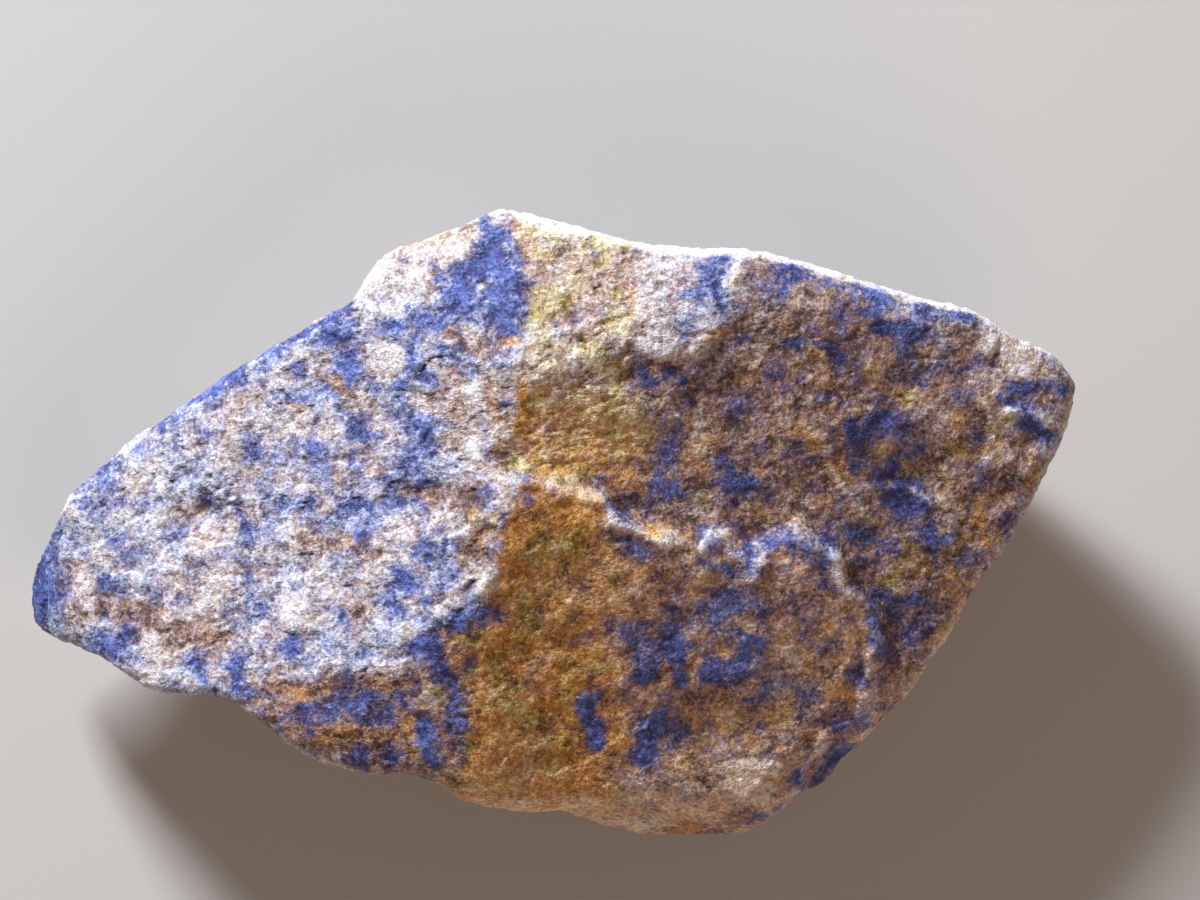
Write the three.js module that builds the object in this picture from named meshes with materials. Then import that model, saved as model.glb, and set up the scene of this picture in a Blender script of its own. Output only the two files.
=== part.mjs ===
// A rough lump of lapis lazuli, broken from the rock and never cut or polished: one solid stone.
// It lies on its back with its broad fractured face up.
//
// Millimetres, +Z up. +X runs along the length of the stone, to the blunt right tip, and +Y across
// it, to the apex. The origin is on the surface that the stone rests on, under the middle of its
// outline.

import * as THREE from 'three';
import { ImprovedNoise } from 'three/addons/math/ImprovedNoise.js';
import { mergeVertices } from 'three/addons/utils/BufferGeometryUtils.js';

const { clamp, lerp, smoothstep } = THREE.MathUtils;

// The skin of the stone is one grid, folded round it like the skin of a box: a front, a back and
// four walls. The four corners of the grid are the left tip, the foot, the right tip and the apex.
const CELLS_TIP_TO_FOOT = 46;
const CELLS_TIP_TO_APEX = 38;
const WALL_ROWS = 7;

// The outline of the broad face, one run for each edge of the grid.
const FACE_OUTLINE = {
	tipToFoot: [
		[- 50.4, - 7.3], [- 50.6, - 10.3], [- 48.4, - 11.1], [- 44.6, - 12.7], [- 42.0, - 13.7],
		[- 38.9, - 15.9], [- 37.5, - 16.4], [- 33.4, - 16.4], [- 31.5, - 16.8], [- 29.0, - 18.0],
		[- 25.5, - 20.9], [- 22.0, - 22.8], [- 18.2, - 24.0], [- 11.8, - 24.0], [- 9.4, - 25.4],
		[- 8.9, - 26.2], [- 6.8, - 26.9], [- 3.2, - 27.6], [0.6, - 27.5], [4.7, - 29.0],
		[7.2, - 29.7], [9.7, - 30.0], [14.2, - 29.9], [18.0, - 30.0],
	],
	apexToRightTip: [
		[- 4.6, 30.0], [- 2.0, 29.6], [2.5, 28.4], [8.2, 26.9], [12.3, 26.3], [17.0, 26.3],
		[20.2, 26.1], [23.7, 25.3], [30.4, 23.2], [36.1, 21.7], [39.0, 21.1], [44.7, 18.3],
		[48.2, 16.2], [50.1, 14.3], [50.6, 13.5],
	],
	tipToApex: [
		[- 50.4, - 7.3], [- 49.8, - 3.5], [- 47.7, 0.3], [- 45.0, 4.3], [- 41.0, 7.7],
		[- 35.3, 11.6], [- 29.6, 15.4], [- 23.9, 18.6], [- 21.0, 20.4], [- 19.1, 21.1],
		[- 18.2, 23.0], [- 16.3, 25.6], [- 14.7, 26.5], [- 10.9, 27.5], [- 8.4, 28.4],
		[- 5.5, 29.8], [- 4.6, 30.0],
	],
	footToRightTip: [
		[18.0, - 30.0], [19.9, - 29.5], [21.5, - 28.4], [23.2, - 26.6], [25.3, - 25.6],
		[27.5, - 24.4], [27.8, - 22.8], [29.4, - 21.6], [31.6, - 19.4], [34.9, - 15.9],
		[36.1, - 13.8], [39.2, - 9.5], [40.9, - 6.0], [43.7, - 2.5], [46.3, 2.2], [48.2, 6.0],
		[49.9, 10.1], [50.6, 13.5],
	],
};

// The outline of the back, which broke off in longer, straighter pieces.
const BACK_OUTLINE = {
	tipToFoot: [[- 43.5, - 5.5], [- 41.5, - 9.0], [- 29.0, - 11.5], [- 10.0, - 19.5], [12.5, - 23.0]],
	apexToRightTip: [[- 6.0, 23.5], [14.0, 20.5], [34.0, 15.5], [43.5, 9.5]],
	tipToApex: [[- 43.5, - 5.5], [- 38.0, 2.5], [- 20.0, 14.0], [- 14.0, 21.0], [- 6.0, 23.5]],
	footToRightTip: [[12.5, - 23.0], [21.0, - 20.0], [33.0, - 8.0], [43.5, 9.5]],
};

// The flat fractures that make up the broad face. Each is a plane through a point, and its rise is
// the height that it gains for each millimetre along +X and along +Y.
const LEFT_FACET = { through: [- 3.0, 5.0, 30.5], rise: [0.40, - 0.10] };
const LOWER_LEFT_FACET = { through: [- 27.7, - 18.0, 23.5], rise: [0.21, 0.22] };
const LEFT_TIP_FACET = { through: [- 47.0, - 5.0, 13.6], rise: [1.60, 0.30] };
const RIGHT_FACET = { through: [0.0, 12.0, 28.7], rise: [- 0.212, 0.15] };
const RIGHT_TIP_FACET = { through: [40.4, 14.0, 20.3], rise: [- 0.46, - 0.08] };
const CREAM_SHOULDER = { through: [0.0, 17.5, 28.6], rise: [- 0.03, - 0.42] };
const UPPER_BEVEL = { through: [18.0, 22.2, 26.1], rise: [- 0.33, - 0.45] };
const FOOT_NOTCH = { through: [25.0, - 20.5, 18.5], rise: [- 0.30, 0.90] };
const PLATEAU = { through: [- 2.5, 4.6, 30.8], rise: [- 0.215, 0.20] };
const FOOT_FACET = { through: [5.0, - 25.6, 23.4], rise: [- 0.10, 1.90] };
const RIDGE_ROUNDING = 1.2;

// The plateau stands above the right facet, along a scalloped scarp that runs from the peak to the
// foot. The last three points close it outside the stone.
const PLATEAU_OUTLINE = [
	[- 2.5, 4.6], [0.0, 3.4], [2.8, 2.9], [4.8, 2.0], [6.0, 0.6], [9.5, - 0.9], [14.4, - 1.6],
	[16.3, - 1.7], [17.8, - 3.0], [19.1, - 4.4], [19.9, - 2.6], [21.2, - 1.6], [23.2, - 1.4],
	[25.2, - 2.2], [26.8, - 4.0], [28.4, - 6.8], [31.2, - 10.9], [30.4, - 14.9], [29.6, - 19.3],
	[26.4, - 20.5], [24.4, - 22.4], [23.3, - 25.4], [23.2, - 28.5],
	[30.0, - 45.0], [- 60.0, - 45.0], [- 60.0, 4.6],
];
const SCARP_WIDTH = 3.0;

// Hollows where flakes came away: the middle, the two half-widths and the depth.
const HOLLOWS = [
	{ middle: [3.0, 9.4], reach: [7.0, 5.2], depth: 0.3 },
	{ middle: [- 12.0, 2.5], reach: [6.5, 4.0], depth: 0.9 },
	{ middle: [- 33.0, 1.5], reach: [7.5, 4.5], depth: 0.8 },
	{ middle: [33.5, 4.5], reach: [7.0, 5.0], depth: 0.6 },
	{ middle: [14.5, - 19.0], reach: [8.0, 4.0], depth: 0.8 },
];

// The rim of the broad face is worn round.
const RIM_WEAR_WIDTH = 1.8;
const RIM_WEAR_DEPTH = 0.9;

// The back rises from a small flat spot at z = 0, which the stone rests on, in a few fractures.
const BACK_FACETS = [
	{ through: [- 17.0, 0.0, 0.0], rise: [- 0.21, 0.03] },
	{ through: [21.0, 0.0, 0.0], rise: [0.24, - 0.04] },
	{ through: [0.0, 9.5, 0.0], rise: [0.02, 0.30] },
	{ through: [0.0, - 11.5, 0.0], rise: [0.03, - 0.24] },
	{ through: [14.0, - 9.0, 0.0], rise: [0.17, - 0.28] },
	{ through: [- 13.0, 6.0, 0.0], rise: [- 0.16, 0.17] },
];

// The walls drop from the rim and then turn in under the stone, with dents in them.
const WALL_TURN_IN = 1.7;
const WALL_DENT_DEPTH = 1.6;
const WALL_DENT_SIZE = 6.5;

// Broken rock is rough at every scale: each band has a wavelength and a height.
const ROUGHNESS = [
	{ wavelength: 11.0, height: 0.55 },
	{ wavelength: 4.6, height: 0.22 },
	{ wavelength: 2.2, height: 0.10 },
];

const STONE_COLOUR = 0x6f6a8c;
const STONE_ROUGHNESS = 0.85;

const noise = new ImprovedNoise();

// The roughness of the stone at a place: the sum of all its bands.
function roughness( x, y, z ) {

	return ROUGHNESS.reduce(
		( sum, { wavelength, height } ) =>
			sum + height * noise.noise( x / wavelength, y / wavelength, z / wavelength ),
		0,
	);

}

function planeHeight( { through, rise }, x, y ) {

	return through[ 2 ] + rise[ 0 ] * ( x - through[ 0 ] ) + rise[ 1 ] * ( y - through[ 1 ] );

}

// The lower of two heights, with the ridge between them rounded over.
function roundedMin( a, b ) {

	const blend = clamp( 0.5 + 0.5 * ( b - a ) / RIDGE_ROUNDING, 0, 1 );
	return lerp( b, a, blend ) - RIDGE_ROUNDING * blend * ( 1 - blend );

}

// The distance from a place to an outline, positive inside it.
function distanceInside( outline, x, y ) {

	let nearest = Infinity;
	let inside = false;
	outline.forEach( ( [ bx, by ], index ) => {

		const [ ax, ay ] = outline.at( index - 1 );
		const [ dx, dy ] = [ bx - ax, by - ay ];
		const along = clamp( ( ( x - ax ) * dx + ( y - ay ) * dy ) / ( dx * dx + dy * dy ), 0, 1 );
		nearest = Math.min( nearest, Math.hypot( x - ax - along * dx, y - ay - along * dy ) );
		if ( ( ay > y ) !== ( by > y ) && x < ax + dx * ( y - ay ) / dy ) inside = ! inside;

	} );
	return inside ? nearest : - nearest;

}

// The whole outline, anticlockwise from the left tip, without repeating the corners.
const WHOLE_OUTLINE = [
	...FACE_OUTLINE.tipToFoot.slice( 0, - 1 ),
	...FACE_OUTLINE.footToRightTip.slice( 0, - 1 ),
	...FACE_OUTLINE.apexToRightTip.slice( 1 ).reverse(),
	...FACE_OUTLINE.tipToApex.slice( 1 ).reverse(),
];

// The bowl of a hollow at a place, from 0 at its brink to its full depth in the middle.
function hollowDepth( { middle, reach, depth }, x, y ) {

	const out = Math.hypot( ( x - middle[ 0 ] ) / reach[ 0 ], ( y - middle[ 1 ] ) / reach[ 1 ] );
	return depth * ( 1 - smoothstep( out, 0, 1 ) );

}

// The height of the broad face: two fields that meet along the ridge, less its hollows and wear.
function faceHeight( x, y ) {

	const leftField = [ LEFT_FACET, LOWER_LEFT_FACET, LEFT_TIP_FACET ];
	const rightField = [ RIGHT_FACET, RIGHT_TIP_FACET, CREAM_SHOULDER, UPPER_BEVEL, FOOT_NOTCH ];
	const plateauField = [ PLATEAU, FOOT_FACET ];
	const heightOf = ( facets ) => facets.map( ( facet ) => planeHeight( facet, x, y ) ).reduce( roundedMin );

	const scarp = smoothstep( distanceInside( PLATEAU_OUTLINE, x, y ), - SCARP_WIDTH / 2, SCARP_WIDTH / 2 );
	const rightSide = lerp( heightOf( rightField ), heightOf( plateauField ), scarp );
	const broken = roundedMin( heightOf( leftField ), rightSide );

	const hollow = HOLLOWS.reduce( ( sum, each ) => sum + hollowDepth( each, x, y ), 0 );
	const rim = 1 - smoothstep( distanceInside( WHOLE_OUTLINE, x, y ), 0, RIM_WEAR_WIDTH );
	return broken - hollow - RIM_WEAR_DEPTH * rim * rim + roughness( x, y, broken );

}

// The height of the back: 0 on the flat spot, and rough where it rises from it.
function backHeight( x, y ) {

	const rise = Math.max( ...BACK_FACETS.map( ( facet ) => planeHeight( facet, x, y ) ) );
	return Math.max( 0, rise + roughness( x, y, 0 ) );

}

// A place inside four edges, found from how far it lies along each pair of them.
function placeInside( edges, u, v ) {

	const foot = edges.tipToFoot.getPoint( u );
	const apex = edges.apexToRightTip.getPoint( u );
	const tip = edges.tipToApex.getPoint( v );
	const right = edges.footToRightTip.getPoint( v );
	const corners = [
		edges.tipToFoot.getPoint( 0 ), edges.tipToFoot.getPoint( 1 ),
		edges.apexToRightTip.getPoint( 0 ), edges.apexToRightTip.getPoint( 1 ),
	];
	const weights = [ ( 1 - u ) * ( 1 - v ), u * ( 1 - v ), ( 1 - u ) * v, u * v ];

	const place = foot.multiplyScalar( 1 - v ).addScaledVector( apex, v );
	place.addScaledVector( tip, 1 - u ).addScaledVector( right, u );
	corners.forEach( ( corner, index ) => place.addScaledVector( corner, - weights[ index ] ) );
	return place;

}

function edgesOf( outline ) {

	const toPath = ( points ) => new THREE.Path( points.map( ( point ) => new THREE.Vector2( ...point ) ) );
	const named = Object.entries( outline ).map( ( [ name, points ] ) => [ name, toPath( points ) ] );
	return Object.fromEntries( named );

}

const faceEdges = edgesOf( FACE_OUTLINE );
const backEdges = edgesOf( BACK_OUTLINE );

// A point of the skin: u and v place it in the outline, and depth is 0 on the face and 1 on the back.
function skinPoint( u, v, depth ) {

	const face = placeInside( faceEdges, u, v );
	const back = placeInside( backEdges, u, v );
	const faceZ = faceHeight( face.x, face.y );
	const backZ = backHeight( back.x, back.y );
	const z = lerp( faceZ, backZ, depth );

	const place = face.clone().lerp( back, depth ** WALL_TURN_IN );
	const dent = 0.5 + noise.noise( ...[ place.x, place.y, z ].map( ( value ) => value / WALL_DENT_SIZE ) );
	const reach = WALL_DENT_DEPTH * clamp( dent, 0, 1 ) * Math.sin( Math.PI * depth );
	place.multiplyScalar( 1 - reach / place.length() );
	return new THREE.Vector3( place.x, place.y, z );

}

function stoneGeometry() {

	const box = new THREE.BoxGeometry( 1, 1, 1, CELLS_TIP_TO_FOOT, CELLS_TIP_TO_APEX, WALL_ROWS );
	const corners = box.getAttribute( 'position' );
	for ( let index = 0; index < corners.count; index ++ ) {

		const u = corners.getX( index ) + 0.5;
		const v = corners.getY( index ) + 0.5;
		const depth = 0.5 - corners.getZ( index );
		corners.setXYZ( index, ...skinPoint( u, v, depth ).toArray() );

	}

	box.deleteAttribute( 'normal' );
	box.deleteAttribute( 'uv' );
	const skin = mergeVertices( box );
	skin.computeVertexNormals();
	return skin;

}

const stone = new THREE.Mesh(
	stoneGeometry(),
	new THREE.MeshStandardMaterial( {
		color: STONE_COLOUR, roughness: STONE_ROUGHNESS, metalness: 0, flatShading: true,
	} ),
);
stone.name = 'lapis_stone';

const group = new THREE.Group();
group.add( stone );

export default group;
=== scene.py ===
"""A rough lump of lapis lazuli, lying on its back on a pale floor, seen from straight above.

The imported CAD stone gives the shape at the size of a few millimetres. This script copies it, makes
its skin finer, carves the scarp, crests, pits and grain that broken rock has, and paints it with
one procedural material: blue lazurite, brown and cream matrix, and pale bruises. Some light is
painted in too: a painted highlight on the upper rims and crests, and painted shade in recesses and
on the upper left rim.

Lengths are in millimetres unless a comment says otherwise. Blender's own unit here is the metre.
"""

import math

import bmesh
import bpy
import numpy as np
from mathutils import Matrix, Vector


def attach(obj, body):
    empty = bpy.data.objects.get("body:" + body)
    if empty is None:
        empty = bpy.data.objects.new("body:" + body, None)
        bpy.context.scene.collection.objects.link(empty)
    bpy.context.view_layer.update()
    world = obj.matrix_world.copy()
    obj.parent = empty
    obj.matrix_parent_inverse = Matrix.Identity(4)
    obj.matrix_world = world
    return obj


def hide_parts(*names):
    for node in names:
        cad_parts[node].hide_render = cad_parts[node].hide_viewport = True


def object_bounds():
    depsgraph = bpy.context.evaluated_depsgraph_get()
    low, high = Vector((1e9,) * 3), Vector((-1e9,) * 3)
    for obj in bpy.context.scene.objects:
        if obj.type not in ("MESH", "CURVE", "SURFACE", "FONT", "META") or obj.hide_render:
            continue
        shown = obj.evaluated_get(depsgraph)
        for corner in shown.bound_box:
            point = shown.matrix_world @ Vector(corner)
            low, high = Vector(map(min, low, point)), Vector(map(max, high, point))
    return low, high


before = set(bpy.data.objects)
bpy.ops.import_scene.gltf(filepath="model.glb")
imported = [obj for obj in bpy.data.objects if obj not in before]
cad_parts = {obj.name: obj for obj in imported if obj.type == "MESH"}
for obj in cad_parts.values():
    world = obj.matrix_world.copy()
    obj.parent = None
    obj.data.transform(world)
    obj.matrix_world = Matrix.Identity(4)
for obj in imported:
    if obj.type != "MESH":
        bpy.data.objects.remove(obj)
cad_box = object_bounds()

MM = 0.001
NODE = "lapis_stone"
BODY = "root"
PIECE = "rough_lapis_lazuli"
SLOT = "lapis_rock"

# The noises and the layers of chips add a number to this one, so that no two of them are alike.
SEED = 11

# ---------------------------------------------------------------------------------------------
# Noise and distances, on arrays of points
# ---------------------------------------------------------------------------------------------

# Large odd factors and shifts that scatter neighbouring lattice cells over 32 bits. A cell's value
# is made of the lower 16 of them.
HASH_FACTORS = np.array([374761393, 668265263, 1442695041])
SEED_FACTOR = 974634777
HASH_ROUNDS = [(13, 1274126177), (15, 2246822519)]
HASH_MASK = 0xFFFFFFFF
VALUE_BITS = 16
VALUE_MASK = 0xFFFF
VALUE_MIDDLE = 0x7FFF

# Steps between the seeds inside one noise: for axes, octaves, shifts, and a chip's level and tilt.
AXIS_STEP = 7
OCTAVE_STEP = 31
SHIFT_STEP = 100
LEVEL_STEP = 50
TILT_STEP = 60

# Gradient noise stays within about 0.6. This brings it to about 1.
NOISE_GAIN = 1.6

# How far a chip's middle strays from its cell's middle, and how much the chips' levels differ.
CHIP_SCATTER = 0.45
CHIP_LEVELS = 0.45


def lattice_value(cell, seed):
    """A fixed random number from -1 to 1 for each whole-number cell of the lattice."""
    mixed = (cell @ HASH_FACTORS + seed * SEED_FACTOR) & HASH_MASK
    for shift, factor in HASH_ROUNDS:
        mixed = ((mixed ^ (mixed >> shift)) * factor) & HASH_MASK
    return ((mixed ^ (mixed >> VALUE_BITS)) & VALUE_MASK) / VALUE_MIDDLE - 1.0


def lattice_vector(cell, seed):
    return np.stack([lattice_value(cell, seed + AXIS_STEP * axis) for axis in range(3)], axis=1)


def noise(points, wavelength, seed):
    """Gradient noise from about -1 to 1, with features about one wavelength across."""
    scaled = points / wavelength
    cell = np.floor(scaled).astype(np.int64)
    inside = scaled - cell
    fade = inside**3 * (inside * (inside * 6 - 15) + 10)
    total = np.zeros(len(points))
    for corner in np.ndindex(2, 2, 2):
        offset = inside - corner
        weight = np.prod(np.where(corner, fade, 1 - fade), axis=1)
        total += weight * np.sum(lattice_vector(cell + corner, seed) * offset, axis=1)
    return total * NOISE_GAIN


def fractal(points, wavelength, octaves, seed, gain=0.5):
    """Noise summed over octaves, each half as long as the last and gain times as high."""
    return sum(
        gain**octave * noise(points, wavelength / 2**octave, seed + OCTAVE_STEP * octave)
        for octave in range(octaves))


def chips(points, size, seed):
    """Broken rock: cells about one size across, each a small tilted facet at a level of its own."""
    scaled = points / size
    base = np.floor(scaled).astype(np.int64)
    nearest = np.full(len(points), np.inf)
    height = np.zeros(len(points))
    for step in np.ndindex(3, 3, 3):
        cell = base + step - 1
        out = scaled - cell - 0.5 - CHIP_SCATTER * lattice_vector(cell, seed)
        distance = np.sum(out * out, axis=1)
        level = CHIP_LEVELS * lattice_value(cell, seed + LEVEL_STEP)
        tilt = np.sum(lattice_vector(cell, seed + TILT_STEP) * out, axis=1)
        closer = distance < nearest
        nearest = np.where(closer, distance, nearest)
        height = np.where(closer, level + tilt, height)
    return height


def warped(points, wavelength, reach, seed):
    """The points, each moved by up to about one reach, so that what they read comes out ragged."""
    shift = [noise(points, wavelength, seed + SHIFT_STEP * axis) for axis in range(3)]
    return points + reach * np.stack(shift, axis=1)


def stretched(points, angle, factor):
    """The points in a frame where features run along an angle, factor times longer than wide."""
    turn = math.radians(angle)
    along = (points[:, 0] * math.cos(turn) + points[:, 1] * math.sin(turn)) / factor
    across = -points[:, 0] * math.sin(turn) + points[:, 1] * math.cos(turn)
    return np.stack([along, across, points[:, 2]], axis=1)


def smoothstep(value, low, high):
    """0 below low, 1 above high, and a smooth rise between them."""
    t = np.clip((value - low) / (high - low), 0, 1)
    return t * t * (3 - 2 * t)


def from_line(places, line):
    """For each place, its distance to a line of points, positive on the line's left."""
    line = np.asarray(line, float)
    nearest = np.full(len(places), np.inf)
    signed = np.zeros(len(places))
    for start, end in zip(line[:-1], line[1:]):
        run = end - start
        out = places - start
        along = np.clip(out @ run / (run @ run), 0, 1)
        gap = out - along[:, None] * run
        distance = np.hypot(gap[:, 0], gap[:, 1])
        side = np.where(run[0] * out[:, 1] - run[1] * out[:, 0] >= 0, 1.0, -1.0)
        closer = distance < nearest
        nearest = np.where(closer, distance, nearest)
        signed = np.where(closer, side * distance, signed)
    return signed


def close_to(places, line, width):
    """For each place, 1 on the line, and falling off smoothly within about two widths of it."""
    return np.exp(-((from_line(places, line) / width) ** 2))


def strongest(places, strokes):
    """For each place, the strongest of the strokes. Each has its line, half-width and strength."""
    result = np.zeros(len(places))
    for line, width, strength in strokes:
        result = np.maximum(result, strength * close_to(places, line, width))
    return result


def inside_outline(places, outline):
    """For each place, its distance to a closed outline, positive inside it."""
    closed = np.asarray([*outline, outline[0]], float)
    distance = np.abs(from_line(places, closed))
    x, y = places.T
    crossings = np.zeros(len(places), int)
    for (ax, ay), (bx, by) in zip(closed[:-1], closed[1:]):
        if ay == by:
            continue
        crossings += ((ay > y) != (by > y)) & (x < ax + (bx - ax) * (y - ay) / (by - ay))
    return np.where(crossings % 2 == 1, distance, -distance)


# ---------------------------------------------------------------------------------------------
# The map of the broad face: +X to the right tip, +Y to the apex
# ---------------------------------------------------------------------------------------------

# The ridge from the apex down to the foot, between the left facets and the rest.
RIDGE = [(-4.6, 34.0), (-2.6, 24.0), (-2.0, 18.4), (-3.2, 11.8), (-3.6, 7.8), (-2.4, 4.8),
         (-4.3, 0.8), (-5.1, -4.0), (-5.8, -6.0), (-6.6, -12.0), (-7.5, -18.0), (-9.1, -25.4),
         (-9.1, -34.0)]

# The scalloped scarp that the plateau stands on, from the peak to the foot.
SCARP = [(-2.5, 4.6), (0.0, 3.4), (2.8, 2.9), (4.8, 2.0), (6.0, 0.6), (9.5, -0.9), (14.4, -1.6),
         (16.3, -1.7), (17.8, -3.0), (19.1, -4.4), (19.9, -2.6), (21.2, -1.6), (23.2, -1.4),
         (25.2, -2.2), (26.8, -4.0), (28.4, -6.8), (31.2, -10.9), (30.4, -14.9), (29.6, -19.3),
         (26.4, -20.5), (24.4, -22.4), (23.3, -25.4), (23.2, -28.5)]

# Corners far outside the stone, which close the scarp's line around the plateau.
SCARP_CLOSING = [(30.0, -45.0), (-60.0, -45.0), (-60.0, 4.6)]

# The scarp's height, its width on the CAD stone, its mean width here, and how far it is moved out.
SCARP_HEIGHT = 2.2
SCARP_WIDTH_CAD = 3.0
SCARP_WIDTH = 2.6
SCARP_SHIFT = 0.5

# Crests: thin raised edges. Each has its line, its height and its half-width. Two are sunk.
CRESTS = [
    ([(-3.0, 4.9), (-4.2, 3.2), (-5.0, 0.8), (-5.3, -1.6), (-5.4, -4.0), (-5.8, -5.9)], 0.4, 1.2),
    ([(-3.0, 4.6), (-1.6, 3.5), (0.2, 3.6), (2.6, 3.2), (4.6, 2.4), (5.6, 1.4)], 0.45, 0.7),
    ([(6.2, 0.2), (8.6, -0.4), (10.6, -2.0)], 0.7, 1.2),
    ([(9.6, -0.6), (12.0, -1.2), (14.4, -1.8)], 0.1, 1.1),
    ([(14.8, -2.6), (15.0, -0.9), (16.4, -1.0), (17.6, -2.2), (19.0, -4.3)], 0.5, 0.9),
    ([(19.8, -3.6), (20.2, -1.8), (21.4, -0.8), (23.2, -0.6), (24.8, -1.2), (26.4, -3.0)],
     0.5, 0.9),
    ([(26.4, -3.0), (28.0, -5.8), (31.3, -10.6)], 0.32, 0.7),
    ([(31.0, -11.1), (30.6, -13.5), (29.9, -16.8), (29.6, -19.2)], 0.12, 1.0),
    ([(26.4, -20.4), (24.3, -22.6), (23.3, -26.0)], 0.4, 0.8),
    ([(27.0, 21.6), (33.0, 19.8), (39.6, 18.0)], 0.25, 1.5),
    ([(-3.4, 7.6), (-2.6, 11.8), (-1.2, 13.6), (0.8, 14.4), (3.0, 14.6), (5.0, 14.0), (6.8, 12.4),
      (8.4, 10.8)], 0.2, 1.2),
    ([(-2.0, 17.0), (-3.2, 14.6), (-4.0, 11.8), (-4.6, 9.4)], 0.3, 1.3),
    ([(7.4, 17.4), (9.0, 16.6), (14.0, 16.4), (15.4, 18.6), (16.8, 21.2), (17.8, 23.6)], 0.35, 1.0),
    ([(25.1, 8.9), (26.2, 6.5), (27.3, 4.1), (28.7, 2.2), (30.6, 0.3)], 0.35, 0.5),
    ([(40.2, 14.0), (41.3, 11.0), (42.6, 7.5), (44.8, 4.6)], 0.4, 0.6),
    ([(43.5, 10.6), (45.1, 9.9), (47.3, 9.4)], 0.5, 0.5),
    ([(-10.6, 21.3), (-9.9, 23.2), (-8.7, 24.9), (-7.0, 26.5), (-6.3, 27.8)], 0.4, 0.8),
    ([(29.6, 3.1), (32.7, 3.4), (36.2, 2.3), (37.7, 0.3), (38.3, -1.8)], 0.3, 0.7),
    ([(-15.6, -11.0), (-12.0, -9.0), (-8.0, -7.4), (-5.6, -5.6)], 0.25, 1.0),
    ([(-35.0, 3.2), (-33.0, 3.6), (-31.4, 3.4)], 0.3, 1.1),
    ([(-13.6, 3.6), (-11.0, 4.6), (-8.6, 4.8)], 0.35, 1.3),
    ([(-23.4, 11.2), (-21.0, 11.2), (-18.2, 12.0)], 0.25, 1.2),
    ([(-1.4, 11.6), (0.5, 12.8), (3.0, 13.0), (5.5, 11.8)], -0.2, 0.9),
    ([(-18.8, 21.2), (-12.0, 21.2)], -0.3, 0.8),
]

# Pits: the middle, the half-width and the depth.
PITS = [
    ((1.6, 19.8), 1.3, 0.6), ((2.9, 17.3), 0.8, 0.5), ((7.2, 20.6), 1.1, 0.5),
    ((8.6, 18.0), 0.8, 0.4), ((46.0, 8.3), 1.3, 0.4), ((-6.2, 22.6), 0.7, 0.4),
    ((7.0, 13.8), 0.9, 0.5),
]

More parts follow.
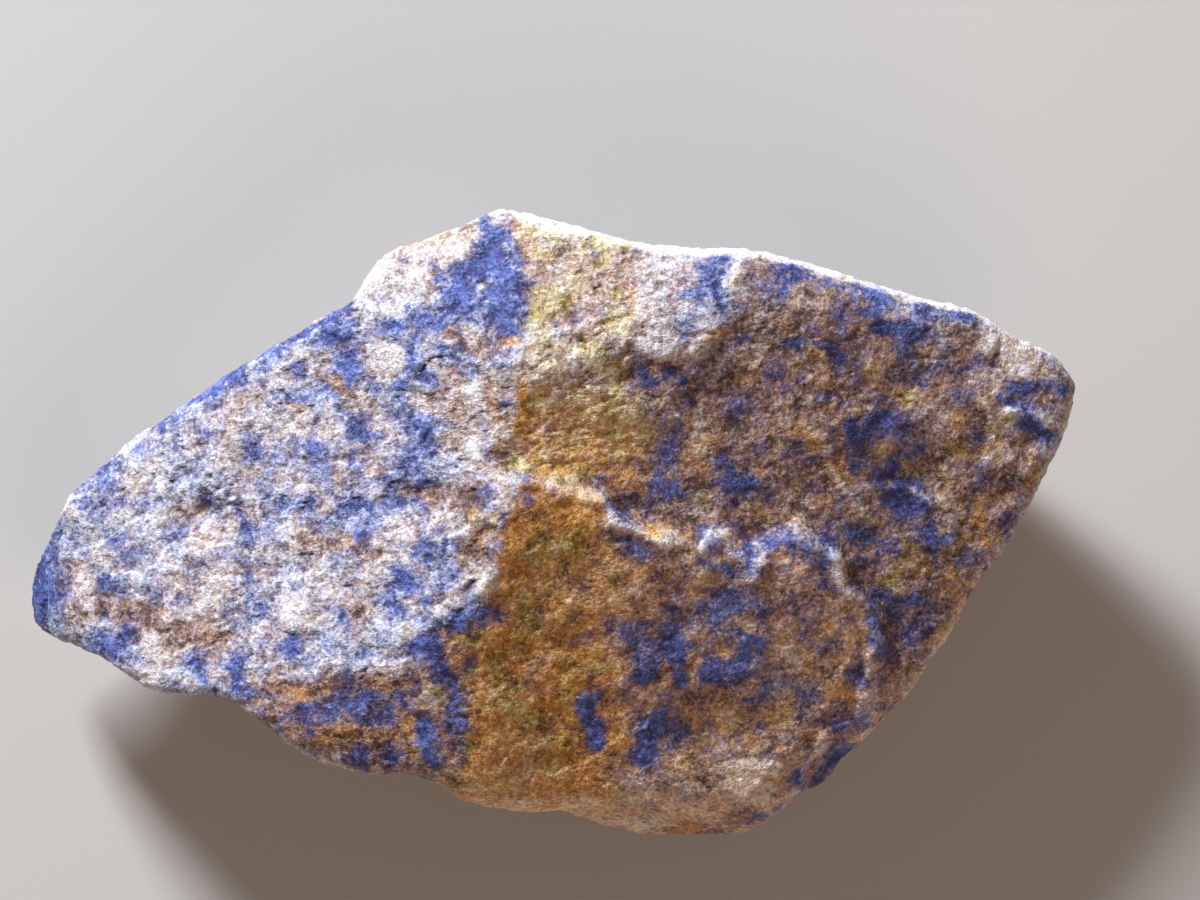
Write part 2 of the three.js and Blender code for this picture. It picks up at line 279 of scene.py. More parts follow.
# Blue patches: the two ends of each, its half-width, and how solid the blue is.
BLUE_PATCHES = [
    # Below the apex and the shoulder.
    ((-5.6, 26.2), (-4.0, 22.6), 1.4, 1.4), ((-4.6, 21.0), (-4.4, 18.8), 1.0, 1.3),
    ((-10.6, 23.6), (-8.0, 23.6), 0.8, 1.2), ((-10.4, 22.6), (-10.2, 20.6), 0.6, 0.8),
    ((-8.2, 22.4), (-7.8, 20.4), 1.2, 1.3), ((-7.6, 20.0), (-5.6, 19.6), 0.9, 1.1),
    ((-6.4, 29.0), (-6.2, 28.2), 0.5, 1.0), ((-17.2, 24.4), (-16.2, 25.6), 0.4, 0.7),
    ((-16.4, 19.0), (-14.8, 18.8), 0.8, 0.8), ((-12.8, 19.4), (-11.0, 19.0), 0.6, 0.8),
    ((-8.6, 18.2), (-8.0, 16.4), 0.5, 0.7), ((-10.4, 16.6), (-9.4, 15.6), 0.7, 0.6),
    # Along the upper left rim.
    ((-22.5, 20.0), (-19.0, 20.6), 0.6, 0.7), ((-24.0, 17.6), (-20.0, 18.4), 1.0, 0.7),
    ((-28.0, 15.4), (-25.6, 16.4), 0.7, 0.9), ((-34.0, 11.5), (-30.0, 14.5), 1.0, 1.0),
    ((-45.6, 4.6), (-41.6, 6.6), 0.7, 1.0), ((-44.0, 3.6), (-42.4, 4.0), 0.8, 0.8),
    ((-44.6, 2.0), (-42.2, 2.2), 0.7, 0.7), ((-43.6, 0.6), (-43.2, 1.2), 0.8, 0.6),
    ((-38.8, 9.0), (-37.0, 9.4), 0.6, 0.5), ((-35.8, 8.0), (-35.4, 7.8), 0.6, 0.8),
    ((-39.6, 7.6), (-28.4, 14.0), 1.2, 0.5),
    # The upper half of the left facet.
    ((-23.6, 15.0), (-23.2, 14.2), 0.7, 0.9), ((-19.2, 16.0), (-18.6, 13.6), 0.9, 1.0),
    ((-26.0, 12.0), (-22.6, 11.6), 0.8, 1.0), ((-21.6, 12.6), (-20.0, 11.6), 0.8, 0.9),
    ((-20.0, 10.4), (-18.4, 9.4), 0.7, 0.9), ((-13.8, 16.4), (-12.8, 14.0), 1.0, 0.9),
    ((-12.0, 13.8), (-11.2, 13.2), 0.6, 1.0), ((-14.4, 12.8), (-14.2, 10.6), 0.7, 0.7),
    ((-13.0, 9.8), (-11.0, 8.8), 1.1, 1.0), ((-28.6, 8.6), (-28.2, 6.8), 0.7, 0.8),
    ((-24.0, 8.2), (-22.6, 7.2), 0.7, 0.7), ((-18.6, 5.8), (-17.8, 4.8), 0.6, 0.6),
    ((-14.6, 4.4), (-12.2, 4.8), 0.9, 1.0), ((-11.4, 5.2), (-9.0, 5.4), 0.7, 0.9),
    ((-35.8, 3.4), (-33.8, 3.2), 0.7, 0.9), ((-33.0, 3.6), (-31.0, 3.4), 0.9, 1.0),
    ((-37.6, 2.6), (-36.8, 2.4), 0.4, 0.6), ((-27.8, 4.0), (-27.0, 2.4), 0.6, 0.6),
    ((-25.2, 1.4), (-22.4, 2.4), 0.8, 0.9), ((-20.0, 0.4), (-17.0, 1.4), 0.8, 0.9),
    ((-15.6, 1.2), (-13.6, 1.6), 0.7, 0.8), ((-6.4, 2.4), (-6.2, 1.0), 0.5, 0.7),
    # The lower half of the left facet.
    ((-30.2, 2.0), (-28.8, -1.8), 0.5, 0.7), ((-41.0, -1.6), (-40.0, -3.4), 0.7, 0.8),
    ((-44.8, -3.2), (-44.0, -4.2), 0.6, 0.6), ((-42.6, -5.2), (-40.8, -6.2), 0.7, 0.7),
    ((-28.9, -6.0), (-28.4, -7.0), 0.7, 0.8), ((-26.8, -8.4), (-26.0, -8.8), 0.5, 0.7),
    ((-18.4, -1.0), (-17.8, -3.4), 0.5, 0.6), ((-12.4, -2.6), (-11.4, -2.0), 0.7, 0.9),
    ((-14.2, -4.4), (-13.0, -5.4), 0.6, 0.8), ((-12.0, -6.6), (-10.6, -5.6), 0.6, 0.8),
    ((-21.6, -7.6), (-19.6, -8.2), 0.6, 0.7), ((-15.4, -7.4), (-13.8, -8.6), 0.7, 0.8),
    ((-24.4, -11.4), (-23.0, -13.6), 0.9, 1.0), ((-22.6, -11.0), (-20.4, -12.2), 0.9, 1.0),
    ((-17.4, -12.6), (-15.6, -10.8), 0.8, 0.9), ((-14.4, -11.8), (-13.0, -11.6), 0.6, 0.7),
    ((-12.8, -9.0), (-8.6, -9.0), 0.8, 1.1), ((-7.8, -8.0), (-5.6, -8.6), 0.7, 0.9),
    # Along the left tip and the lower left rim.
    ((-48.6, -1.0), (-49.0, -8.6), 1.7, 1.5), ((-43.5, -12.0), (-41.4, -12.6), 1.0, 1.2),
    ((-40.9, -11.0), (-40.5, -12.8), 0.7, 1.1), ((-33.4, -13.4), (-32.4, -15.4), 0.7, 1.1),
    ((-36.0, -15.6), (-32.0, -15.6), 0.6, 1.1), ((-29.6, -13.2), (-29.0, -15.4), 0.8, 1.2),
    # The lower left facet.
    ((-12.0, -11.2), (-10.6, -13.4), 0.9, 1.0), ((-23.4, -17.4), (-21.0, -17.2), 0.8, 0.8),
    ((-19.0, -16.0), (-15.4, -16.4), 1.2, 1.0), ((-18.0, -18.0), (-15.6, -17.6), 0.8, 0.8),
    ((-23.6, -18.6), (-23.4, -19.4), 0.6, 0.9), ((-18.4, -21.6), (-17.8, -22.4), 0.7, 0.9),
    ((-15.0, -21.0), (-14.4, -22.4), 0.6, 0.7), ((-12.0, -18.6), (-11.2, -21.6), 1.1, 1.1),
    ((-8.8, -15.6), (-7.6, -18.4), 1.1, 1.1),
    # Along the top, from the apex to the right tip.
    ((4.2, 25.8), (4.6, 25.2), 0.5, 0.9), ((6.8, 26.4), (7.4, 25.6), 0.5, 0.8),
    ((17.6, 25.6), (15.4, 25.0), 0.9, 1.0), ((15.8, 24.6), (15.4, 20.4), 1.1, 1.6),
    ((14.2, 21.8), (13.4, 21.4), 0.6, 0.8), ((14.6, 19.4), (12.6, 18.0), 0.9, 1.0),
    ((8.6, 14.8), (9.8, 13.2), 0.6, 1.0), ((10.6, 14.6), (12.4, 12.4), 0.9, 0.6),
    ((22.4, 24.2), (23.6, 23.2), 0.8, 1.0), ((26.2, 22.8), (27.0, 22.4), 0.5, 0.9),
    ((28.4, 22.0), (31.8, 22.0), 0.9, 1.0), ((29.0, 20.6), (30.8, 20.8), 0.7, 0.9),
    ((31.2, 18.8), (33.4, 17.8), 0.8, 1.1), ((35.0, 20.2), (39.0, 19.6), 0.8, 0.9),
    ((34.6, 17.6), (39.4, 17.0), 0.9, 0.7), ((39.6, 18.6), (40.2, 15.8), 0.5, 0.7),
    ((24.6, -24.4), (28.4, -22.4), 1.2, 0.7),
    ((27.2, 18.8), (27.9, 18.0), 0.6, 1.0), ((22.6, 17.0), (23.2, 16.8), 0.5, 0.8),
    ((26.4, 16.4), (27.4, 15.4), 0.6, 0.7), ((33.6, 15.6), (35.0, 13.8), 0.9, 0.6),
    # The right tip.
    ((48.6, 16.0), (50.4, 13.0), 0.7, 1.2), ((44.4, 13.0), (48.6, 12.8), 0.8, 0.6),
    ((42.8, 12.2), (43.4, 11.4), 0.5, 0.8), ((45.0, 9.3), (47.2, 8.2), 0.7, 1.2),
    # The right facet.
    ((28.4, 9.0), (29.2, 6.0), 0.7, 0.9), ((31.0, 9.8), (33.4, 7.4), 1.3, 0.7),
    ((31.0, 4.6), (33.6, 4.0), 1.1, 0.8), ((32.6, 2.2), (35.2, 1.4), 1.0, 0.9),
    ((36.8, -0.8), (37.8, -1.2), 0.6, 0.8), ((29.0, -1.0), (30.6, -1.8), 0.7, 0.7),
    ((30.8, -6.6), (33.4, -8.4), 1.2, 0.8), ((18.4, 3.8), (20.0, 3.0), 0.9, 0.7),
    ((10.0, 4.0), (12.0, 2.0), 1.0, 0.9), ((13.6, 5.8), (16.0, 6.2), 1.0, 0.6),
    ((10.8, 9.0), (12.0, 6.0), 0.9, 0.6), ((3.2, 6.6), (4.6, 4.6), 0.6, 0.7),
    # Along the ridge and the scarp.
    ((-2.2, 4.4), (-2.4, 2.2), 0.4, 1.1), ((-4.2, 0.4), (-4.4, -1.6), 0.4, 0.8),
    ((-3.9, -4.2), (-4.0, -6.0), 0.5, 0.7), ((6.4, 1.2), (9.0, 0.4), 0.9, 0.3),
    ((5.4, 2.2), (5.8, 1.2), 0.4, 0.6), ((5.8, -1.2), (8.4, -2.8), 1.0, 0.8),
    ((14.8, -1.2), (17.8, -2.8), 1.1, 0.7), ((15.0, -3.6), (17.2, -4.4), 0.7, 1.0),
    ((19.1, -2.2), (19.6, -4.2), 0.5, 0.9), ((21.0, -1.9), (25.8, -2.4), 1.2, 0.7),
    ((26.2, -5.4), (27.6, -6.2), 0.6, 0.8), ((30.4, -8.8), (31.0, -12.0), 0.8, 0.8),
    # The plateau.
    ((9.8, -6.4), (11.4, -6.8), 0.9, 0.8), ((2.4, -10.4), (3.4, -10.0), 0.7, 0.6),
    ((15.4, -7.6), (20.4, -8.0), 1.3, 0.6), ((4.0, -16.6), (4.4, -20.6), 0.9, 1.8),
    ((8.6, -10.6), (8.8, -14.2), 0.9, 1.0), ((11.6, -10.8), (12.6, -14.4), 0.9, 1.0),
    ((16.0, -13.6), (18.0, -12.8), 1.0, 1.0), ((17.4, -10.4), (19.8, -11.6), 0.8, 0.8),
    ((9.0, -18.6), (9.4, -22.8), 0.9, 1.3), ((11.2, -18.4), (12.2, -19.6), 0.7, 0.9),
    ((13.4, -15.6), (14.6, -19.0), 0.9, 0.7), ((18.0, -15.0), (24.0, -16.5), 1.2, 0.5),
    ((22.4, -18.2), (25.6, -18.2), 0.9, 0.6), ((28.6, -11.6), (29.0, -14.8), 0.7, 0.6),
    ((27.6, -19.4), (29.4, -19.2), 0.6, 0.8), ((17.6, -28.2), (21.6, -27.0), 0.8, 0.8),
]

# Brown stains where the blue and the frost are thin: the two ends and the half-width.
BROWN_STAINS = [
    # The left facet.
    ((-35.0, 2.0), (-31.8, 1.8), 0.7), ((-12.6, 3.4), (-8.0, 2.2), 1.2),
    ((-42.4, -7.4), (-38.0, -9.6), 1.3), ((-24.8, 11.2), (-24.0, 10.6), 0.6),
    # The first stain below is painted shade in a hollow under a ledge.
    ((-20.6, 13.4), (-17.6, 11.0), 1.0), ((-9.4, 18.4), (-7.0, 16.4), 0.9),
    ((-5.0, 17.8), (-4.4, 17.4), 0.8), ((-8.6, 7.6), (-6.8, 5.6), 0.8),
    ((-46.8, 1.4), (-46.0, 0.4), 0.8), ((-8.8, -2.0), (-7.6, -3.4), 1.0),
    ((-23.4, -1.2), (-16.8, -2.6), 0.9), ((-18.8, -7.4), (-17.4, -8.2), 0.7),
    ((-37.0, -10.8), (-35.4, -11.8), 0.8), ((-47.0, -5.0), (-45.0, -9.0), 1.2),
    ((-37.6, -9.6), (-31.0, -11.2), 0.9),
    # The lower left facet.
    ((-26.0, -15.4), (-14.0, -14.4), 0.7), ((-22.0, -20.2), (-13.5, -19.6), 0.7),
    ((-13.4, -18.6), (-12.9, -21.6), 0.4),
    # Along the ridge.
    ((-9.0, 13.6), (-8.4, 10.2), 0.8), ((-7.4, 1.0), (-6.8, -4.6), 0.6),
    ((-5.6, 13.4), (-5.0, 10.0), 0.6), ((-3.0, 9.0), (-2.6, 12.0), 0.5),
    ((-4.8, 7.4), (-4.2, 5.8), 0.5),
    # The scarp and the right tip.
    ((10.0, -0.6), (13.4, -1.0), 0.9), ((43.8, 7.6), (45.6, 4.6), 1.0),
]

# Pale chips where the rock was freshly bruised: the two ends and the half-width.
PALE_CHIPS = [
    ((-15.0, 16.4), (-14.6, 15.2), 0.7), ((-8.2, 12.4), (-6.8, 11.8), 0.9),
    ((-7.2, 8.0), (-6.8, 6.6), 0.5), ((-6.4, 22.9), (-6.2, 22.5), 0.4),
    ((13.4, 12.0), (13.2, 9.0), 0.6), ((18.6, 13.6), (19.4, 16.4), 0.8),
    ((10.4, 1.6), (15.0, 1.2), 0.7), ((22.0, -12.2), (22.8, -13.4), 1.0),
    ((14.2, -12.0), (14.0, -14.4), 0.5), ((16.0, -17.2), (16.6, -18.2), 0.7),
    # The chips from (9.0, -25.8) and (-7.0, -26.4) run along the foot: a pale band that is largely a
    # painted highlight on its lit lower edge.
    ((16.0, -23.0), (22.0, -23.0), 1.0), ((9.0, -25.8), (19.0, -25.2), 2.4),
    ((-7.0, -26.4), (10.0, -28.4), 1.6), ((42.0, 17.0), (45.2, 15.4), 1.2),
]

# The regions' borders where they aren't the ridge or the scarp.
LOWER_LEFT_BORDER = [(-32.0, -18.6), (-27.5, -15.2), (-14.0, -13.6), (-12.5, -9.8), (-5.8, -8.8),
                     (0.0, -7.0)]
SHOULDER_OUTLINE = [(-24.0, 24.0), (-18.6, 21.4), (-11.6, 21.4), (-10.4, 24.0), (-7.0, 27.0),
                    (-6.0, 34.0)]
CREAM_OUTLINE = [(-3.0, 34.0), (-2.2, 14.0), (5.5, 14.5), (9.0, 17.0), (9.0, 34.0)]
FROSTED_OUTLINE = [(6.5, 34.0), (9.0, 20.0), (7.5, 17.0), (10.3, 16.0), (14.0, 16.0), (16.9, 21.5),
                   (19.0, 34.0)]
HOLLOW_OUTLINE = [(-3.0, 14.0), (6.0, 14.0), (9.0, 10.0), (7.5, 5.0), (2.0, 4.0), (-3.0, 5.0)]
TIP_BORDER = [(40.2, 22.0), (40.6, 14.0), (42.5, 9.0), (45.5, 4.0), (47.0, 0.0)]

# How far inside its border each region begins and is full. The strip's border is the line x = 0.
BORDER_WIDTHS = {
    "lower_left": (-0.8, 1.2),
    "shoulder": (-0.6, 0.6),
    "left": (-0.8, 0.8),
    "strip": (-10.5, -1.0),
    "plateau": (-0.6, 0.6),
    "frosted": (-0.8, 1.0),
    "cream": (-3.5, 3.0),
    "hollow": (-2.5, 2.0),
    "tip": (-0.6, 0.6),
}

# The regions that are cut off at the border of a larger one.
PARENT_REGIONS = {"lower_left": "left", "shoulder": "left", "strip": "plateau"}

# How rough each region is in mm, and how much blue, frost, ochre, olive and darkness it has. The
# east is the rest of the broad face, and the hidden region is the walls and the back.
COLUMNS = ("relief", "blue", "frost_and_highlight", "warm", "olive", "dark_and_shade")
REGION_LOOKS = {
    "left": (0.22, 0.49, 0.50, -0.20, -0.10, 0.16),
    "shoulder": (0.16, 0.22, 0.54, 0.00, 0.10, 0.06),
    "lower_left": (0.16, 0.40, 0.18, 0.20, 0.00, 0.26),
    "strip": (0.14, 0.14, 0.12, 0.85, 0.30, 0.12),
    "plateau": (0.12, 0.36, 0.16, 0.42, 0.08, 0.12),
    "cream": (0.24, 0.20, 0.40, 0.16, 0.50, 0.14),
    "frosted": (0.18, 0.34, 0.52, -0.10, -0.05, 0.08),
    "hollow": (0.22, 0.16, 0.30, 0.85, 0.44, -0.20),
    # The tip's frost is partly a painted highlight, where its facet catches the light.
    "tip": (0.16, 0.40, 0.34, 0.20, 0.05, 0.06),
    "east": (0.14, 0.43, 0.15, 0.30, 0.12, 0.26),
    "hidden": (0.24, 0.46, 0.02, 0.28, 0.10, 0.46),
}

# ---------------------------------------------------------------------------------------------
# The stone's mesh
# ---------------------------------------------------------------------------------------------

WELD_DISTANCE = 0.002
SMOOTHING_ROUNDS = 12

# A face whose normal points up at least this much is part of the broad face.
BROAD_FACE_UP = 0.3

# The resting spot is at height 0. This is how far a corner of it may be off.
FLAT_TOLERANCE = 0.02

# How far a normal points up where the broad face's own relief begins, and where it is full.
RELIEF_UP = (0.15, 0.55)

# How high above the floor the grain begins, and where it is full.
GRAIN_RISE = (0.02, 0.6)

# The layers of the relief, as the size of their features and their height on a skin of roughness 1.
LUMPS = (6.0, 1.1)
LEFT_CHIPS = (2.6, 0.7)
RIGHT_CHIPS = (3.0, 0.7)
SMALL_CHIPS = (1.25, 0.6)
GRAINS = (0.62, 0.4)

# The way the fibres of the left facets run, in degrees from +X, and how many times longer than
# wide the chips along them are.
LEFT_FIBRES = 27
LEFT_CHIP_LENGTH = 1.6

# How much the scarp's width varies, and where its carving begins and is full right of the ridge.
SCARP_UNEVENNESS = 0.5
RIGHT_OF_RIDGE = (-1.0, 1.0)

# How much of a crest's height is left on average, how much that varies, and its limits.
CREST_MEAN = 0.5
CREST_UNEVENNESS = 0.9
CREST_LIMITS = (0, 1.2)


def edges_around(faces):
    return list({edge for face in faces for edge in face.edges})


def fine_copy(source):
    """A copy of the CAD stone in small squares: about 0.5 mm, and 0.25 mm on the broad face."""
    tool = bmesh.new()
    tool.from_mesh(source.data)
    bmesh.ops.remove_doubles(tool, verts=tool.verts, dist=WELD_DISTANCE * MM)
    bmesh.ops.join_triangles(
        tool, faces=tool.faces, angle_face_threshold=math.pi, angle_shape_threshold=math.pi)
    bmesh.ops.subdivide_edges(tool, edges=tool.edges, cuts=2, use_grid_fill=True)
    tool.normal_update()
    broad_face = [face for face in tool.faces if face.normal.z > BROAD_FACE_UP]
    bmesh.ops.subdivide_edges(tool, edges=edges_around(broad_face), cuts=1, use_grid_fill=True)

    mesh = bpy.data.meshes.new(PIECE)
    tool.to_mesh(mesh)
    tool.free()
    copy = bpy.data.objects.new(PIECE, mesh)
    bpy.context.scene.collection.objects.link(copy)
    return copy


def read_vectors(elements, name, count):
    values = np.zeros(count * 3, np.float32)
    elements.foreach_get(name, values)
    return values.reshape(-1, 3).astype(float)


def corners_of(mesh):
    return read_vectors(mesh.vertices, "co", len(mesh.vertices)) / MM


def normals_of(mesh):
    return read_vectors(mesh.vertices, "normal", len(mesh.vertices))


def move_corners(mesh, places):
    mesh.vertices.foreach_set("co", (places * MM).astype(np.float32).ravel())
    mesh.update()


def averaged(mesh, values, rounds):
    """The corners' values, each replaced by the mean of its neighbours, for a number of rounds."""
    edges = np.zeros(len(mesh.edges) * 2, np.int32)
    mesh.edges.foreach_get("vertices", edges)
    first, second = edges.reshape(-1, 2).T
    size = len(values)
    count = np.bincount(edges, minlength=size)[:, None]
    for _ in range(rounds):
        sums = [
            np.bincount(first, column[second], size) + np.bincount(second, column[first], size)
            for column in values.T]
        values = np.stack(sums, axis=1) / count
    return values


def soften_facets(mesh):
    """Rounds the CAD stone's facets off, and leaves its flat resting spot at height 0."""
    points = corners_of(mesh)
    smooth = averaged(mesh, points, SMOOTHING_ROUNDS)
    on_the_flat = points[:, 2] < FLAT_TOLERANCE
    smooth[on_the_flat, 2] = 0
    move_corners(mesh, smooth)


def from_scarp(places):
    """For each place, its distance to the scarp, positive on the plateau's side."""
    return inside_outline(places, [*SCARP, *SCARP_CLOSING])


def from_ridge(places):
    """For each place, its distance to the ridge, positive on the left facets' side."""
    return from_line(places, RIDGE[::-1])


def region_weights(places):
    """How much each place belongs to each region of the broad face. The weights add up to 1.

    Where two regions overlap, the place belongs to the one that is listed first.
    """
    depths = {
        "lower_left": -from_line(places, LOWER_LEFT_BORDER),
        "shoulder": inside_outline(places, SHOULDER_OUTLINE),
        "left": from_ridge(places),
        "strip": -places[:, 0],
        "plateau": from_scarp(places),
        "frosted": inside_outline(places, FROSTED_OUTLINE),
        "cream": inside_outline(places, CREAM_OUTLINE),
        "hollow": inside_outline(places, HOLLOW_OUTLINE),
        "tip": from_line(places, TIP_BORDER),
    }
    shares = {name: smoothstep(depth, *BORDER_WIDTHS[name]) for name, depth in depths.items()}
    for name, parent in PARENT_REGIONS.items():
        shares[name] = shares[name] * shares[parent]

    weights = {}
    remaining = np.ones(len(places))
    for name, share in shares.items():
        weights[name] = remaining * share
        remaining = remaining * (1 - share)
    weights["east"] = remaining
    return weights


def left_weight(weights):
    """How much each place belongs to the facets left of the ridge."""
    return weights["left"] + weights["shoulder"] + weights["lower_left"]


def blend(weights, column):
    """The regions' values of one column of REGION_LOOKS, mixed by the weights."""
    index = COLUMNS.index(column)
    return sum(weight * REGION_LOOKS[name][index] for name, weight in weights.items())


def scarp_lift(points, places):
    """What turns the CAD stone's wide, even scarp into a steeper one of uneven width."""
    from_edge = from_scarp(places)
    uneven = 1 + SCARP_UNEVENNESS * noise(points, wavelength=5.0, seed=SEED + 12)
    half_width = SCARP_WIDTH / 2 * uneven
    sharp = smoothstep(from_edge + SCARP_SHIFT, -half_width, half_width)
    soft = smoothstep(from_edge, -SCARP_WIDTH_CAD / 2, SCARP_WIDTH_CAD / 2)
    return SCARP_HEIGHT * (sharp - soft) * smoothstep(-from_ridge(places), *RIGHT_OF_RIDGE)


def edge_lift(points):
    """The scarp, the crests and the pits, as heights above the CAD stone's broad face."""
    places = warped(points, wavelength=2.4, reach=0.5, seed=SEED + 1)[:, :2]
    lift = scarp_lift(points, places)
    uneven = CREST_MEAN + CREST_UNEVENNESS * noise(points, wavelength=2.6, seed=SEED + 9)
    share = np.clip(uneven, *CREST_LIMITS)
    for line, rise, width in CRESTS:
        lift += rise * share * close_to(places, line, width)
    for middle, width, depth in PITS:
        lift -= depth * np.exp(-np.sum(((places - middle) / width) ** 2, axis=1))
    return lift


def layer_of_chips(points, layer, seed):
    """One layer of chips, from its size and height."""
    size, height = layer
    return height * chips(points, size, seed)


def grain_lift(points, upward):
    """The lumps, chips and grains of broken rock, as heights above the smooth skin."""
    weights = region_weights(points[:, :2])
    left = left_weight(weights) * upward
    fibrous = stretched(points, LEFT_FIBRES, LEFT_CHIP_LENGTH)
    fibrous = warped(fibrous, wavelength=2.0, reach=0.5, seed=SEED + 2)
    plain = warped(points, wavelength=2.0, reach=0.5, seed=SEED + 3)
    small = warped(points, wavelength=0.9, reach=0.25, seed=SEED + 7)
    lump_size, lump_height = LUMPS
    lift = lump_height * fractal(plain, lump_size, octaves=2, seed=SEED + 6)
    lift += left * layer_of_chips(fibrous, LEFT_CHIPS, SEED + 4)
    lift += (1 - left) * layer_of_chips(plain, RIGHT_CHIPS, SEED + 5)
    lift += layer_of_chips(small, SMALL_CHIPS, SEED + 8)
    lift += layer_of_chips(points, GRAINS, SEED + 9)
    return blend(weights, "relief") * lift


def carve(mesh):
    """Adds the relief that is finer than the CAD stone, and keeps the flat resting spot flat."""
    points = corners_of(mesh)
    normals = normals_of(mesh)
    upward = smoothstep(normals[:, 2], *RELIEF_UP)
    grain = grain_lift(points, upward) * smoothstep(points[:, 2], *GRAIN_RISE)
    moved = points + normals * grain[:, None]
    moved[:, 2] += edge_lift(points) * upward
    moved[:, 2] = np.clip(moved[:, 2], 0.0, cad_box[1][2] / MM)
    move_corners(mesh, moved)


# ---------------------------------------------------------------------------------------------
# The masks of the material
# ---------------------------------------------------------------------------------------------

# How far up a normal points, and how high above the floor a corner is, where the colours of the
# broad face begin and where they are full.
FACE_UP = (-0.1, 0.35)
FACE_HEIGHT = (5.0, 9.0)

# How much heights count in the raggedness of the borders.
HEIGHT_SHARE = 0.5

# How much wider the marks are than the half-widths in their tables.
PATCH_SPREAD = 1.3
STAIN_SPREAD = 1.2
CREST_SPREAD = 1.2

# How strong a blue patch is where it starts to keep the ochre out, and where it does so fully.
SOLID_PATCH = (0.8, 1.5)

# How pale a crest is for each mm of its height, how pale the scarp's edge is where it has none, and
# how far outside the scarp's line that edge runs: pale bruising, and partly a painted highlight
# where these edges face the light.
# Then the mean of what is left of the paleness, and how much that varies.
CREST_PALENESS = 2.0
SCARP_PALENESS = 0.2
SCARP_EDGE = 0.6
PALENESS_MEAN = 0.56
PALENESS_UNEVENNESS = 0.7

# The half-width of the warm flank along the left of the ridge.
RIDGE_FLANK = 3.2

# The upper rims are where the skin, averaged over some rounds, faces +Y, towards the key light, at
# least this much.
# They hold painted light: a painted highlight right of the apex and painted shade left of it, with a
# change at these places along X.
RIM_ROUNDS = 6
LEFT_RIM_PAINTED_SHADE = (0.40, 0.70)
RIGHT_RIM_PAINTED_HIGHLIGHT = (0.58, 0.80)
APEX_CHANGE = (-8.0, -2.0)

# Grains and lumps stand out of the skin when it is averaged over this many rounds.
GRAIN_ROUNDS = 4
LUMP_ROUNDS = 30

# The clouds in the masks: how strong they are, their wavelength, octaves, seed and gain.
CLOUDS = {
    "left_blue": (0.20, 3.6, 3, SEED + 23, 0.75),
    "right_blue": (0.15, 4.5, 3, SEED + 24, 0.75),
    "frost_and_highlight": (0.18, 5.0, 3, SEED + 25, 0.7),
    "warm": (0.30, 5.0, 3, SEED + 26, 0.7),
    "olive": (0.40, 3.6, 3, SEED + 27, 0.7),
    "dark_and_shade": (0.18, 3.0, 2, SEED + 28, 0.5),
}

# How many times longer than wide the clouds of blue and frost are, and the way in which those right
# of the ridge run, in degrees from +X.
LEFT_CLOUD_LENGTH = 1.8
RIGHT_CLOUD_LENGTH = 1.4
RIGHT_FIBRES = 80

# The share by which the warm clouds are weaker on the left facets.
LEFT_WARM_CALM = 1 / 3

# How much each mark adds to each mask. The bare patch is the blue patch where no crest crosses it,
# the left crest is a crest left of the ridge, and grains and lumps are what stands out of the skin:
# paler as bruises where they stand out, and darker as painted shade where they sink in.
# The rims are painted light: a painted highlight on the right rim, painted shade on the left one.
MARK_EFFECTS = {
    "blue": {"patch": 0.46, "chip": -0.5, "stain": -0.25, "crest": -0.06, "left_rim_painted_shade": 0.1,
             "right_rim_painted_highlight": -0.3},
    "frost_and_highlight": {"grain": 0.9, "lump_bruise_and_shade": 0.4, "chip": 0.4, "crest": 0.42, "left_crest": -0.2,
              "bare_patch": -0.26, "stain": -0.26, "ridge": -0.16, "left_rim_painted_shade": -0.25,
              "right_rim_painted_highlight": 0.7},
    "warm": {"stain": 0.3, "ridge": 0.45, "solid_patch": -0.7, "crest": -0.1, "right_rim_painted_highlight": -0.3},
    "olive": {"ridge": 0.5},
    "dark_and_shade": {"grain": -1.2, "lump_bruise_and_shade": -0.6, "stain": 0.2, "left_rim_painted_shade": 0.2},
}
MASK_LIMITS = (-0.5, 1.5)


def standing_out(mesh, rounds):
    """How far each corner stands out of the mean of the corners around it, along its normal."""
    points = corners_of(mesh)
    return np.sum((points - averaged(mesh, points, rounds)) * normals_of(mesh), axis=1)


def ragged_places(points):
    """Where each point reads the map of the face, astray enough that borders come out ragged."""
    flattened = points * (1, 1, HEIGHT_SHARE)
    astray = warped(flattened, wavelength=4.0, reach=0.9, seed=SEED + 21)
    return warped(astray, wavelength=1.5, reach=0.45, seed=SEED + 22)[:, :2]


def pale_crests_and_highlights(points, places, left):
    """How pale the crests and the scarp's edge are: pale bruising, and partly a painted highlight on
    these lit edges. It varies along them.
    """
    scarp_edge = SCARP_PALENESS * np.exp(-((from_scarp(places) + SCARP_EDGE) ** 2)) * (1 - left)
    crests = strongest(places, [
        (line, CREST_SPREAD * width, CREST_PALENESS * rise) for line, rise, width in CRESTS])
    paleness = np.clip(np.maximum(scarp_edge, crests), 0, 1)
    uneven = PALENESS_MEAN + PALENESS_UNEVENNESS * noise(points, wavelength=1.7, seed=SEED + 32)
    return paleness * uneven


def drawn_marks(points, places, face, left):
    """The marks that the map of the broad face places, one number for each corner and mark."""
    patch = strongest(places, [
        ([start, end], PATCH_SPREAD * width, strength)
        for start, end, width, strength in BLUE_PATCHES])
    chip = strongest(places, [([start, end], width, 1) for start, end, width in PALE_CHIPS])
    stain = strongest(places, [
        ([start, end], STAIN_SPREAD * width, 1) for start, end, width in BROWN_STAINS])
    crest = face * pale_crests_and_highlights(points, places, left)
    return {
        "patch": face * patch,
        "bare_patch": face * patch * (1 - crest),
        "solid_patch": face * smoothstep(patch, *SOLID_PATCH),
        "chip": face * chip,
        "stain": face * stain,
        "crest": crest,
        "left_crest": left * crest,
        "ridge": left * close_to(places, RIDGE, RIDGE_FLANK),
    }


